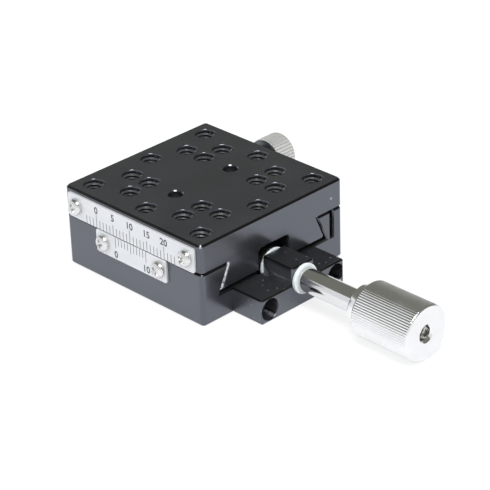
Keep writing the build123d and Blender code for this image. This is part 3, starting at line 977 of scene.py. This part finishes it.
def pan_screw(thread, head, height, length, rise=0.30, fullness=2.1, rings=9):
    """Pan head screw with a cross recess along Z, its head standing up from the origin."""
    dome = []
    for ring in range(rings + 1):
        reach = sin(pi / 2 * (1 - ring / rings))
        crown = (1 - reach ** fullness) ** (1 / fullness)
        dome.append((head * reach, rise + (height - rise) * crown))
    bm = lathe(screw_shank(thread, length) + [(head - PAN_RIM, 0), (head, PAN_RIM)] + dome)
    bm = carve(bm, wedge(height))
    crossed = wedge(height)
    bmesh.ops.rotate(crossed, cent=(0, 0, 0), matrix=Matrix.Rotation(pi / 2, 3, "Z"), verts=crossed.verts)
    return carve(bm, crossed)


# %% Bracket and nut screws
M2_PITCH = 0.4
M2_RADIUS = 1.0
M3_RADIUS = 1.5
HEAD_HEIGHT = 2.0
SHANK_LENGTH = 8.0
SMALL_SOCKET = 1.5
WIDE_SOCKET = 2.0
bracket_cap = cap_screw(M2_RADIUS, cap_radius / MM, HEAD_HEIGHT, SMALL_SOCKET, SHANK_LENGTH, M2_PITCH)
cap_seat = cap_high.x - HEAD_HEIGHT * MM
cap_places = [placed("X", (cap_seat, y, cap_height), twist) for y, twist in zip(cap_ys, (0.3, 0.9))]
add_piece(
    "bracket_cap_screws", repeated(bracket_cap, cap_places), black_oxide, "base",
    ("bracket_screws",),
)
nut_cap = cap_screw(M3_RADIUS, nut_head_radius / MM, HEAD_HEIGHT, WIDE_SOCKET, SHANK_LENGTH, M3_PITCH)
nut_seat = nut_screw_low.z + HEAD_HEIGHT * MM
nut_places = [placed("-Z", (0, at.y, nut_seat), twist=0.5) for at in nut_hole_places]
add_piece(
    "nut_cap_screws", repeated(nut_cap, nut_places), black_oxide, "table", ("nut_screws",)
)

# %% Set screws of the jaw and the knob
jaw_set = set_screw(M3_RADIUS, SMALL_SOCKET, length_of("jaw_set_screws", "Y"), M3_PITCH)
jaw_places = [placed("Y", (x, jaw_high.y, jaw_height), x / MM) for x in jaw_screw_xs]
add_piece(
    "jaw_grub_screws", repeated(jaw_set, jaw_places), black_oxide, "base",
    ("jaw_set_screws",),
)
knob_set = set_screw(M3_RADIUS, SMALL_SOCKET, length_of("knob_set_screw"), M3_PITCH)
add_piece(
    "knob_grub_screw", knob_set, nickel_screws, "feed_screw", ("knob_set_screw",),
    on_screw(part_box("knob_set_screw")[1].x, twist=0.4),
)

# %% Pan heads of the plates
PAN_HEIGHT = 1.3
PAN_LENGTH = 2.2


def add_pan_screws(name, node, body, twists):
    """The two pan heads of a plate, at the middles of their construction node's ends."""
    low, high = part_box(node)
    radius = (high.z - low.z) / 2
    xs = (low.x + radius, high.x - radius)
    seat = low.y + PAN_HEIGHT * MM
    places = [placed("-Y", (x, seat, (low.z + high.z) / 2), twist) for x, twist in zip(xs, twists)]
    screw = pan_screw(M2_RADIUS, radius / MM, PAN_HEIGHT, PAN_LENGTH)
    add_piece(name, repeated(screw, places), nickel_screws, body, (node,))


add_pan_screws("scale_pan_screws", "scale_screws", "table", (0.35, 0.9))
add_pan_screws("vernier_pan_screws", "vernier_screws", "base", (0.2, 0.65))

# %% [markdown]
# ## Scale plates
# The plates are thin sheet. Their edges are broken by hand, and the graduations are printed: thin
# dark lines that stand a hundredth of a millimetre proud. Every fifth line is longer and every tenth
# longest, and the vernier divides nine millimetres by ten. The numbers are plain and generic.

# %% Sheets
SHEET_BREAK = 0.05


def make_sheet(name, node, body):
    """A plate with its outer edges broken."""
    sheet = copied(node)
    soften(sheet, SHEET_BREAK, limit=SQUARE_ONLY)
    add_piece(name, sheet, satin_plate, body, (node,))


make_sheet("scale_sheet", "scale_plate", "table")
make_sheet("vernier_sheet", "vernier_plate", "base")


# %% Printed lines and numbers
PROUD = 0.008
LINE = 0.13
LINE_GAP = 0.02
NUMBER_HEIGHT = 1.45


def line_reach(mark, tenth, fifth, plain):
    """Length of a graduation: every tenth is the longest and every fifth is longer than the rest."""
    return tenth if mark % 10 == 0 else fifth if mark % 5 == 0 else plain


def add_line(bm, x, low, high, face):
    """One printed line: a thin upright bar on the plate's face, between two heights in millimetres."""
    size = Matrix.Diagonal((LINE * MM, 2 * PROUD * MM, (high - low) * MM, 1))
    place = Matrix.Translation((x * MM, face, (low + high) / 2 * MM))
    bmesh.ops.create_cube(bm, size=1.0, matrix=place @ size)


def add_number(bm, text, x, foot, face):
    """A number in a bold hand, with its foot at a height in millimetres."""
    weight = 0.045
    cap_share = 0.69
    letters = bpy.data.curves.new("number", "FONT")
    letters.body = text
    letters.align_x = "CENTER"
    letters.size = NUMBER_HEIGHT / cap_share * MM
    letters.extrude = PROUD * MM
    letters.offset = weight * MM
    letters.resolution_u = 4
    holder = bpy.data.objects.new("number", letters)
    mesh = bpy.data.meshes.new_from_object(holder)
    mesh.transform(Matrix.Translation((x * MM, face, foot * MM)) @ Matrix.Rotation(pi / 2, 4, "X"))
    bm.from_mesh(mesh)
    bpy.data.objects.remove(holder)
    bpy.data.curves.remove(letters)
    bpy.data.meshes.remove(mesh)


# %% Main scale: one line a millimetre
plate_face = scale_low.y
scale_bottom = scale_low.z / MM
scale_print = bmesh.new()
SCALE_ZERO = -10
SCALE_NUMBER_FOOT = 3.2
for value in range(-3, 24):
    line_top = scale_bottom + line_reach(value, 2.95, 2.35, 1.85)
    add_line(scale_print, SCALE_ZERO + value, scale_bottom + LINE_GAP, line_top, plate_face)
for value in range(0, 21, 5):
    add_number(scale_print, str(value), SCALE_ZERO + value, scale_bottom + SCALE_NUMBER_FOOT, plate_face)
bmesh.ops.remove_doubles(scale_print, verts=scale_print.verts, dist=MERGE / 10)
add_piece("scale_print", scale_print, dark_ink, "table")

# %% Vernier: ten parts of nine tenths of a millimetre
vernier_top = vernier_high.z / MM
vernier_print = bmesh.new()
VERNIER_START = -4.5
VERNIER_STEP = 0.9
VERNIER_NUMBER_FOOT = 4.65
for mark in range(11):
    line_foot = vernier_top - line_reach(mark, 2.55, 2.25, 1.75)
    x = VERNIER_START + VERNIER_STEP * mark
    add_line(vernier_print, x, line_foot, vernier_top - LINE_GAP, plate_face)
for text, x in (("0", VERNIER_START), ("10", -VERNIER_START)):
    add_number(vernier_print, text, x, vernier_top - VERNIER_NUMBER_FOOT, plate_face)
bmesh.ops.remove_doubles(vernier_print, verts=vernier_print.verts, dist=MERGE / 10)
add_piece("vernier_print", vernier_print, dark_ink, "base")

# %% [markdown]
# ## Nylon washers
# Two washers take the screw's thrust on both sides of the bearing block. They are cut from soft
# nylon, so their rims are plainly rounded.


# %% Washers
JOURNAL_RADIUS = 2.0
WASHER_BORE = JOURNAL_RADIUS + 0.1
WASHER_ROUND = 0.14


def add_washer(name, node):
    """A flat ring with rounded rims, as wide as its construction node."""
    radius, thickness = radius_of(node), length_of(node)
    section = [(WASHER_BORE, 0), (radius, 0), (radius, thickness), (WASHER_BORE, thickness)]
    ring = lathe(section, closed=True)
    soften(ring, WASHER_ROUND, limit=SQUARE_ONLY)
    add_piece(name, ring, white_nylon, "base", (node,), on_screw(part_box(node)[0].x))


add_washer("front_nylon_washer", "front_thrust_washer")
add_washer("rear_nylon_washer", "rear_thrust_washer")

# %% [markdown]
# ## Feed screw, nut and sleeve
# The screw's thread has a pitch of one millimetre, the lead that ties the knob to the travel. The
# nut is the construction's own shape with its edges broken. The sleeve is a plain turned tube whose
# polish does the work, so its ends only need a fine round.

# %% Feed screw
THREAD_PITCH = 1.0
THREAD_CORE = 2.35
THREAD_CREST = 2.9
END_CHAMFER = 0.3
SCREW_BREAK = 0.08
COLLAR_GAP = 0.05
screw_reach = -screw_low.x / MM
collar_radius = radius_of("feed_screw")
collar_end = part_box("rear_thrust_washer")[0].x / MM - COLLAR_GAP
screw_end = screw_high.x / MM
feed_profile = [
    (0, -screw_reach),
    (THREAD_CORE - END_CHAMFER, -screw_reach),
    (THREAD_CORE, END_CHAMFER - screw_reach),
    (THREAD_CORE, screw_reach),
    (collar_radius, screw_reach),
    (collar_radius, collar_end),
    (JOURNAL_RADIUS, collar_end),
    (JOURNAL_RADIUS, screw_end - END_CHAMFER),
    (JOURNAL_RADIUS - END_CHAMFER, screw_end),
    (0, screw_end),
]
feed_shape = lathe(feed_profile, bevel=SCREW_BREAK)
add_ridge(
    feed_shape, THREAD_CORE - FOOT, THREAD_CREST, THREAD_PITCH, RIDGE_GAP - screw_reach,
    2 * screw_reach - RIDGE_GAP, steps=48,
)
add_piece(
    "threaded_feed_screw", feed_shape, screw_steel, "feed_screw", ("feed_screw",), on_screw(0)
)

# %% Feed nut
TURNED_BREAK = 0.12
nut_shape = copied("feed_nut")
soften(nut_shape, TURNED_BREAK, limit=SQUARE_ONLY)
add_piece("bronze_feed_nut", nut_shape, bronze, "table", ("feed_nut",))

# %% Sleeve
SLIDING_GAP = 0.02
SLEEVE_BREAK = 0.09
shaft_bore = JOURNAL_RADIUS + SLIDING_GAP
sleeve_radius = radius_of("spacer_sleeve")
sleeve_length = length_of("spacer_sleeve")
tube = [(shaft_bore, 0), (sleeve_radius, 0), (sleeve_radius, sleeve_length), (shaft_bore, sleeve_length)]
sleeve_shape = lathe(tube, steps=128, bevel=SLEEVE_BREAK, closed=True)
add_piece(
    "bright_spacer", sleeve_shape, bright_sleeve, "feed_screw", ("spacer_sleeve",),
    on_screw(sleeve_low.x),
)

# %% [markdown]
# ## Knurled knobs
# A straight knurl is pressed into the turned knob by a toothed wheel: flat ridges with narrow V
# grooves between them. A circle with a few points for each ridge is made for every height, the
# points of the grooves are pulled in, and the circles are bridged one to the next, round the knob
# and back through its bore. So the grooves run out at the bevels as the real ones do, and the whole
# knob is one closed shape.


# %% A knurled body made of bridged rings
def knurled(rings, shares, flutes):
    """Closed shape along Z of rings (radius, height, depth of the grooves), in millimetres."""
    bm = bmesh.new()
    loops = []
    for radius, height, depth in rings:
        made = bmesh.ops.create_circle(
            bm, cap_ends=False, segments=flutes * len(shares), radius=radius * MM
        )["verts"]
        for count, vert in enumerate(made):
            pull = 1 - depth * shares[count % len(shares)] / radius
            vert.co = Vector((vert.co.x * pull, vert.co.y * pull, height * MM))
        loops.append({edge for vert in made for edge in vert.link_edges})
    for first, second in zip(loops, loops[1:] + loops[:1]):
        bmesh.ops.bridge_loops(bm, edges=[*first, *second])
    return bm


# %% Feed knob
KNOB_FLUTES = 72
KNOB_GROOVE = 0.10
KNOB_SHARES = (0, 0, 1)
HUB_RADIUS = 4.3
HUB_LENGTH = 2.2
FACE_BORE = 1.52
knob_radius = radius_of("feed_knob")
knob_length = length_of("feed_knob")
bore_end = (screw_high.x - knob_low.x) / MM + COLLAR_GAP
knob_rings = [
    (shaft_bore, 0, 0),
    (HUB_RADIUS - 0.18, 0, 0),
    (HUB_RADIUS - 0.05, 0.05, 0),
    (HUB_RADIUS, 0.18, 0),
    (HUB_RADIUS, HUB_LENGTH - 0.15, 0),
    (HUB_RADIUS + 0.15, HUB_LENGTH, 0),
    (knob_radius - 0.50, HUB_LENGTH, 0),
    (knob_radius - 0.36, HUB_LENGTH + 0.05, 0),
    (knob_radius - 0.08, HUB_LENGTH + 0.36, KNOB_GROOVE * 0.6),
    (knob_radius, HUB_LENGTH + 0.50, KNOB_GROOVE),
    (knob_radius, knob_length - 0.50, KNOB_GROOVE),
    (knob_radius - 0.06, knob_length - 0.30, KNOB_GROOVE * 0.5),
    (knob_radius - 0.17, knob_length - 0.14, 0.02),
    (knob_radius - 0.33, knob_length - 0.03, 0),
    (knob_radius - 0.50, knob_length, 0),
    (FACE_BORE + 0.52, knob_length, 0),
    (FACE_BORE + 0.45, knob_length - 0.04, 0),
    (FACE_BORE, knob_length - 0.48, 0),
    (FACE_BORE, bore_end, 0),
    (shaft_bore, bore_end, 0),
]
knob_shape = knurled(knob_rings, KNOB_SHARES, KNOB_FLUTES)
add_piece(
    "knurled_feed_knob", knob_shape, bright_knob, "feed_screw", ("feed_knob",),
    on_screw(knob_low.x),
)

# %% [markdown]
# ## Clamp
# The clamp knob is the same idea with a coarser and softer knurl. It stands on a turned collar,
# a smooth neck with a thin flange. Its black finish is a painted reflection of the dark table in a
# bright neck, which shows as a dark end under the bright knob. The knob could be one shape with two
# finishes, but a lathe makes the collar as its own closed piece in one spin.
# The threaded stud is fixed in the knob's bore, which is open at the far end. It is screwed into
# the base's wall and pushes a small pad of bronze against the jaw.

# %% Clamp knob
CLAMP_FLUTES = 36
CLAMP_GROOVE = 0.20
CLAMP_SHARES = (0, 0.1, 0.5, 1, 0.5, 0.1)
NECK_RADIUS = 3.0
NECK_LENGTH = 8.3
FLANGE = 0.5
FLANGE_STEP = 0.15
STUD_RADIUS = 2.0
STUD_BORE_END = 11.0
stud_bore = STUD_RADIUS + SLIDING_GAP
open_bore = stud_bore - 0.35
clamp_radius = radius_of("clamp_knob")
clamp_length = length_of("clamp_knob", "Y")
collar_profile = [
    (stud_bore, 0), (NECK_RADIUS, 0), (NECK_RADIUS, NECK_LENGTH), (clamp_radius - FLANGE_STEP, NECK_LENGTH),
    (clamp_radius - FLANGE_STEP, NECK_LENGTH + FLANGE), (stud_bore, NECK_LENGTH + FLANGE),
]
head_start = NECK_LENGTH + FLANGE + 0.01
clamp_rings = [
    (stud_bore, head_start, 0),
    (clamp_radius - 0.30, head_start, 0),
    (clamp_radius - 0.22, head_start + 0.02, 0),
    (clamp_radius - 0.03, head_start + 0.12, CLAMP_GROOVE * 0.7),
    (clamp_radius, head_start + 0.22, CLAMP_GROOVE),
    (clamp_radius, clamp_length - 0.50, CLAMP_GROOVE),
    (clamp_radius - 0.06, clamp_length - 0.32, CLAMP_GROOVE * 0.7),
    (clamp_radius - 0.24, clamp_length - 0.12, 0.04),
    (clamp_radius - 0.50, clamp_length, 0),
    (stud_bore, clamp_length - 0.02, 0),
    (open_bore, clamp_length - 0.5, 0),
    (open_bore, STUD_BORE_END, 0),
    (stud_bore, STUD_BORE_END, 0),
]
clamp_shape = knurled(clamp_rings, CLAMP_SHARES, CLAMP_FLUTES)
add_piece(
    "knurled_clamp_knob", clamp_shape, bright_clamp, "clamp_screw", ("clamp_knob",),
    on_clamp(head_low.y),
)
collar_shape = lathe(collar_profile, closed=True)
soften(collar_shape, TURNED_BREAK, limit=SQUARE_ONLY)
# The collar's black finish is a painted reflection: the dark table mirrored in a bright neck.
add_piece(
    "clamp_collar_painted_reflection", collar_shape, anodised_bracket, "clamp_screw",
    matrix=on_clamp(head_low.y),
)

# %% Clamp stud and pad
STUD_CORE = 1.65
stud_length = length_of("clamp_stud", "Y")
stud_profile = [
    (0, 0), (STUD_CORE - END_CHAMFER, 0), (STUD_CORE, END_CHAMFER), (STUD_CORE, stud_length - 0.2),
    (STUD_CORE - 0.2, stud_length), (0, stud_length),
]
stud_shape = lathe(stud_profile)
add_ridge(stud_shape, STUD_CORE - FOOT, STUD_RADIUS, M4_PITCH, 0.15, stud_length - 0.3)
add_piece(
    "threaded_clamp_stud", stud_shape, stud_steel, "clamp_screw", ("clamp_stud",),
    on_clamp(stud_low.y),
)

pad_radius = radius_of("clamp_pad")
pad_thickness = length_of("clamp_pad", "Y")
pad_profile = [(0, 0), (pad_radius, 0), (pad_radius, pad_thickness), (0, pad_thickness)]
pad_shape = lathe(pad_profile, bevel=TURNED_BREAK)
add_piece(
    "bronze_clamp_pad", pad_shape, bronze, "clamp_pad", ("clamp_pad",),
    on_clamp(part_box("clamp_pad")[0].y),
)

# %% [markdown]
# ## The stage, the light and the camera
# The object stands on a plain pale floor in a bright studio with a dark ceiling. The floor answers
# camera and mirror rays mostly with plain white, and keeps a part of its true shading, so that the
# soft shadow stays. The world does the same: white to the camera, and to mirror rays a white lower
# half under an olive grey ceiling, which is what the polished knob shows on its upper side. The
# ceiling is tilted, so that it comes lower behind the object than in front of it.


# %% Floor
FLOOR_PLAIN_SEEN = 0.80
FLOOR_PLAIN_MIRRORED = 0.70


def add_floor():
    """A large pale floor just under the base."""
    bm = bmesh.new()
    bmesh.ops.create_grid(bm, x_segments=1, y_segments=1, size=3.0)
    mesh = bpy.data.meshes.new("floor")
    bm.to_mesh(mesh)
    bm.free()
    floor = bpy.data.objects.new("floor", mesh)
    bpy.context.scene.collection.objects.link(floor)
    material = bpy.data.materials.new("Floor")
    material.use_nodes = True
    tree = material.node_tree
    shader = tree.nodes["Principled BSDF"]
    shader.inputs["Base Color"].default_value = (0.86, 0.86, 0.86, 1)
    shader.inputs["Roughness"].default_value = 0.9
    glow = tree.nodes.new("ShaderNodeEmission")
    rays = tree.nodes.new("ShaderNodeLightPath")
    tint = blend_colours(tree, rays.outputs["Is Camera Ray"], (0.90, 0.93, 1.0), (1, 1, 1))
    tree.links.new(tint, glow.inputs["Color"])
    mirrored = maths(tree, "MAXIMUM", rays.outputs["Is Glossy Ray"], rays.outputs["Is Transmission Ray"])
    plain = maths(tree, "MULTIPLY", rays.outputs["Is Camera Ray"], FLOOR_PLAIN_SEEN)
    share = maths(tree, "MAXIMUM", plain, maths(tree, "MULTIPLY", mirrored, FLOOR_PLAIN_MIRRORED))
    mix = tree.nodes.new("ShaderNodeMixShader")
    tree.links.new(share, mix.inputs["Fac"])
    tree.links.new(shader.outputs[0], mix.inputs[1])
    tree.links.new(glow.outputs[0], mix.inputs[2])
    tree.links.new(mix.outputs[0], tree.nodes["Material Output"].inputs["Surface"])
    mesh.materials.append(material)


add_floor()


# %% World
CEILING_TILT = 0.30
STUDIO_STOPS = [
    (0.27, (0.86, 0.89, 0.95)),
    (0.30, (1.0, 1.0, 1.0)),
    (0.345, (1.0, 1.0, 1.0)),
    (0.39, (0.19, 0.195, 0.175)),
]


def build_world():
    """White to the camera, a studio with a dark ceiling to mirrors, and even light for the rest."""
    world = bpy.data.worlds.new("Studio")
    bpy.context.scene.world = world
    world.use_nodes = True
    tree = world.node_tree
    tree.nodes.clear()
    direction = tree.nodes.new("ShaderNodeTexCoord")
    split = tree.nodes.new("ShaderNodeSeparateXYZ")
    tree.links.new(direction.outputs["Generated"], split.inputs[0])
    sideways = maths(tree, "MULTIPLY", split.outputs["Y"], CEILING_TILT)
    tilted = maths(tree, "ADD", split.outputs["Z"], sideways)
    studio = tree.nodes.new("ShaderNodeValToRGB")
    stops = studio.color_ramp.elements
    for _ in range(2):
        stops.new(0.5)
    for stop, (position, colour) in zip(stops, STUDIO_STOPS):
        stop.position = position
        stop.color = (*colour, 1)
    tree.links.new(tilted, studio.inputs["Fac"])
    rays = tree.nodes.new("ShaderNodeLightPath")
    shades = [tree.nodes.new("ShaderNodeBackground") for _ in range(3)]
    shades[0].inputs["Color"].default_value = (0.93, 0.96, 1.0, 1)
    shades[0].inputs["Strength"].default_value = 0.45
    tree.links.new(studio.outputs["Color"], shades[1].inputs["Color"])
    shades[2].inputs["Color"].default_value = (1, 1, 1, 1)
    first = tree.nodes.new("ShaderNodeMixShader")
    mirrored = maths(tree, "MAXIMUM", rays.outputs["Is Glossy Ray"], rays.outputs["Is Transmission Ray"])
    tree.links.new(mirrored, first.inputs["Fac"])
    tree.links.new(shades[0].outputs[0], first.inputs[1])
    tree.links.new(shades[1].outputs[0], first.inputs[2])
    second = tree.nodes.new("ShaderNodeMixShader")
    tree.links.new(rays.outputs["Is Camera Ray"], second.inputs["Fac"])
    tree.links.new(first.outputs[0], second.inputs[1])
    tree.links.new(shades[2].outputs[0], second.inputs[2])
    output = tree.nodes.new("ShaderNodeOutputWorld")
    tree.links.new(second.outputs[0], output.inputs["Surface"])


build_world()


# %% Lamps
def add_softbox(name, place, target, width, height, power, mirrored=False):
    """Rectangular area lamp that faces a point. Only a mirrored one shows in glossy surfaces."""
    data = bpy.data.lights.new(name, "AREA")
    data.shape = "RECTANGLE"
    data.size = width
    data.size_y = height
    data.energy = power
    lamp = bpy.data.objects.new(name, data)
    lamp.visible_glossy = mirrored
    lamp.location = place
    lamp.rotation_euler = (Vector(target) - Vector(place)).to_track_quat("-Z", "Y").to_euler()
    bpy.context.scene.collection.objects.link(lamp)


object_centre = (0.015, 0.0, 0.008)
add_softbox("overhead", (0.10, -0.12, 0.75), object_centre, 0.50, 0.50, 3.0)
add_softbox("highlight", (0.27, -0.24, 0.66), object_centre, 0.30, 0.30, 3.6, mirrored=True)
add_softbox("left side", (-0.55, -0.45, 0.45), object_centre, 0.35, 0.35, 2.3)
add_softbox("right side", (0.60, -0.05, 0.50), object_centre, 0.30, 0.40, 2.3)

# %% [markdown]
# The camera stands where the photograph was taken from. Its turn is built from its azimuth,
# elevation and roll, and its place from where the frame's origin lies in its view.

# %% Camera
PICTURE = 490
SENSOR = 36.0
camera_azimuth = radians(46.06)
camera_elevation = radians(28.52)
camera_roll = radians(1.93)
focal_pixels = 2123.0
origin_in_view = Vector((-8.01, 2.75, 441.1)) * MM

backward = Vector((
    sin(camera_azimuth) * cos(camera_elevation),
    -cos(camera_azimuth) * cos(camera_elevation),
    sin(camera_elevation),
))
level_right = (-backward).cross(Vector((0, 0, 1))).normalized()
level_down = (-backward).cross(level_right)
right = cos(camera_roll) * level_right + sin(camera_roll) * level_down
down = -sin(camera_roll) * level_right + cos(camera_roll) * level_down
place = -(origin_in_view.x * right + origin_in_view.y * down - origin_in_view.z * backward)

camera_data = bpy.data.cameras.new("camera")
camera_data.sensor_width = SENSOR
camera_data.lens = focal_pixels / PICTURE * SENSOR
camera_data.clip_start = 0.01
camera = bpy.data.objects.new("camera", camera_data)
turn = Matrix((right, -down, backward)).transposed().to_4x4()
camera.matrix_world = Matrix.Translation(place) @ turn
bpy.context.scene.collection.objects.link(camera)
bpy.context.scene.camera = camera
bpy.context.scene.view_settings.view_transform = "Standard"
print("camera at", [round(value / MM) for value in place], "mm")
